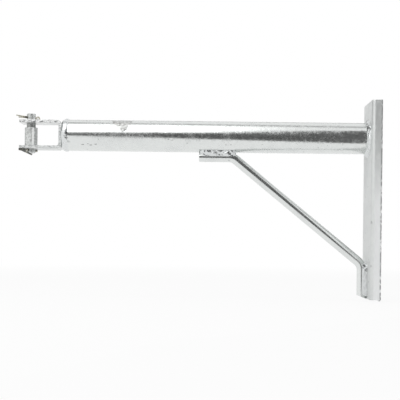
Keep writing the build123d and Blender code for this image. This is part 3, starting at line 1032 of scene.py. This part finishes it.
class ARM_OT_studio(Operator):
    """Sets the floor, lamp, flats, sky and camera"""

    bl_idname = "arm.studio"
    bl_label = "Set up studio"

    def execute(self, context):
        scene = context.scene
        studio = scene.arm_studio
        scene.view_settings.view_transform = "Standard"
        floor_z = cad_low.z - studio.floor_gap
        self.add_floor(floor_z)
        self.add_flats(floor_z)
        self.add_sky(scene, studio)
        lamp_data = bpy.data.lights.new("softbox", "AREA")
        lamp_data.shape = "RECTANGLE"
        lamp_data.size = SOFTBOX_WIDTH
        lamp_data.size_y = SOFTBOX_WIDTH
        lamp_data.energy = studio.softbox_power
        lamp = add_object("softbox", lamp_data)
        lamp.location = SOFTBOX_PLACE
        lamp.rotation_euler = (Vector(SOFTBOX_AIM) - lamp.location).to_track_quat("-Z", "Y").to_euler()
        camera_data = bpy.data.cameras.new("camera")
        camera_data.sensor_width = CAMERA_SENSOR
        camera_data.lens = CAMERA_LENS
        camera_data.shift_x, camera_data.shift_y = CAMERA_SHIFT
        camera_data.clip_end = CAMERA_REACH
        camera = add_object("camera", camera_data)
        camera.location = (CAMERA_X, -studio.camera_distance, CAMERA_Z)
        camera.rotation_euler = Euler((math.radians(90), math.radians(CAMERA_ROLL), 0), "XYZ")
        scene.camera = camera
        return {"FINISHED"}

    def add_floor(self, floor_z):
        """White table top that shows as white and keeps a soft shadow."""
        mesh = bpy.data.meshes.new("floor")
        half = FLOOR_HALF_WIDTH
        corners = [(x * half, y * half, floor_z) for x, y in ((-1, -1), (1, -1), (1, 1), (-1, 1))]
        mesh.from_pydata(corners, [], [(0, 1, 2, 3)])
        floor = add_object("floor", mesh)
        material, tree, shader = start_matt_material("floor_white", FLOOR_GREY, FLOOR_ROUGHNESS)
        ray = place(tree, "ShaderNodeLightPath")
        seen = calc(tree, "MAXIMUM", ray.outputs["Is Camera Ray"], ray.outputs["Is Glossy Ray"])
        seen = calc(tree, "MAXIMUM", seen, ray.outputs["Is Transmission Ray"])
        distance = vector_calc(tree, "LENGTH", own_place(tree))
        fade = ramp(tree, distance, *FLOOR_FADE, FLOOR_WHITE_SHARE, 1.0, smooth=True)
        white = place(tree, "ShaderNodeEmission", {"Color": (1.0, 1.0, 1.0, 1.0), "Strength": 1.0})
        mixed = place(tree, "ShaderNodeMixShader", {
            0: calc(tree, "MULTIPLY", seen, fade), 1: shader.outputs[0], 2: white.outputs[0],
        })
        connect(tree, tree.nodes["Material Output"], {"Surface": mixed.outputs[0]})
        mesh.materials.append(material)

    def add_flats(self, floor_z):
        """Flats round the table, which the metal reflects and the camera doesn't see."""
        mat_z = floor_z + MAT_THICKNESS
        left_foot = front_foot(FRONT_LEFT_X)
        right_foot = front_foot(FRONT_RIGHT_X)
        right_corner = (FRONT_RIGHT_X, right_foot, floor_z)
        right_top = (FRONT_RIGHT_X, right_foot, FRONT_RIGHT_TOP)
        flats = {
            "front_flat": (FRONT_GREY, [
                (FRONT_LEFT_X, left_foot, floor_z), right_corner,
                right_top, (FRONT_LEFT_X, left_foot, FRONT_LEFT_TOP),
            ]),
            "side_flat": (FRONT_GREY, [
                right_corner, (0.12, front_foot(0.12), floor_z), (0.25, front_foot(0.25), 0.5), right_top,
            ]),
            "front_mat": (FRONT_GREY, [
                point for x, y in MAT_EDGE for point in ((x, y, mat_z), (x, front_foot(x), mat_z))
            ]),
            **HANGING_FLATS,
        }
        for name, (grey, corners) in flats.items():
            mesh = bpy.data.meshes.new(name)
            faces = grid_faces(len(corners) // 2, 2) if name == "front_mat" else [(0, 1, 2, 3)]
            mesh.from_pydata(corners, [], faces)
            mesh.materials.append(start_matt_material(name, grey, 1.0)[0])
            flat = add_object(name, mesh)
            flat.visible_camera = False
            flat.visible_diffuse = False
            flat.visible_shadow = False

    def add_sky(self, scene, studio):
        """Even light from all round, white to the camera and a little dimmer overhead in the metal."""
        world = bpy.data.worlds.new("studio_sky")
        scene.world = world
        world.use_nodes = True
        tree = world.node_tree
        background = tree.nodes["Background"]
        background.inputs["Color"].default_value = (1.0, 1.0, 1.0, 1.0)
        ray = place(tree, "ShaderNodeLightPath")
        seen = calc(tree, "MAXIMUM", ray.outputs["Is Camera Ray"], ray.outputs["Is Transmission Ray"])
        height = place(tree, "ShaderNodeSeparateXYZ", {
            0: place(tree, "ShaderNodeTexCoord").outputs["Generated"],
        }).outputs["Z"]
        overhead = ramp(tree, height, *SKY_DIMMING, 1.0, SKY_OVERHEAD_LEVEL, smooth=True)
        level = place(tree, "ShaderNodeMix", {
            "Factor": ray.outputs["Is Glossy Ray"], 2: studio.sky_level, 3: overhead,
        }, data_type="FLOAT").outputs[0]
        level = place(tree, "ShaderNodeMix", {
            "Factor": seen, 2: level, 3: 1.0,
        }, data_type="FLOAT").outputs[0]
        connect(tree, background, {"Strength": level})


class ARM_PT_panel(Panel):
    """Lists the arm's settings and pieces"""

    bl_idname = "ARM_PT_panel"
    bl_label = "Extension arm"
    bl_space_type = "VIEW_3D"
    bl_region_type = "UI"
    bl_category = "Extension arm"

    def draw(self, context):
        layout = self.layout
        for group_name in GROUPS:
            group = getattr(context.scene, group_name)
            box = layout.box()
            for key in group.bl_rna.properties.keys():
                if key not in ("rna_type", "name"):
                    box.prop(group, key)
        for operator in PIECES:
            layout.operator(operator.bl_idname)


GROUPS = {
    "arm_zinc": ZincSettings, "arm_split_pins": SplitPinSettings, "arm_welds": WeldSettings,
    "arm_studio": StudioSettings,
}
PIECES = (
    ARM_OT_members, ARM_OT_sleeve_seam, ARM_OT_split_pins, ARM_OT_ring_weld, ARM_OT_clevis_weld,
    ARM_OT_brace_welds, ARM_OT_zinc_runs, ARM_OT_studio,
)


def register():
    """Adds the settings, operators and panel."""
    for kind in (*GROUPS.values(), *PIECES, ARM_PT_panel):
        bpy.utils.register_class(kind)
    for name, kind in GROUPS.items():
        setattr(bpy.types.Scene, name, PointerProperty(type=kind))


def unregister():
    """Takes the settings, operators and panel out again."""
    for name in GROUPS:
        delattr(bpy.types.Scene, name)
    for kind in reversed((*GROUPS.values(), *PIECES, ARM_PT_panel)):
        bpy.utils.unregister_class(kind)


def main():
    """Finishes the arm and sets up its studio."""
    register()
    make_materials()
    bpy.ops.arm.members()
    bpy.ops.arm.sleeve_seam()
    bpy.ops.arm.split_pins()
    bpy.ops.arm.ring_weld()
    bpy.ops.arm.clevis_weld()
    bpy.ops.arm.brace_welds()
    bpy.ops.arm.zinc_runs()
    bpy.ops.arm.studio()
    bpy.context.view_layer.update()


if __name__ == "__main__":
    main()
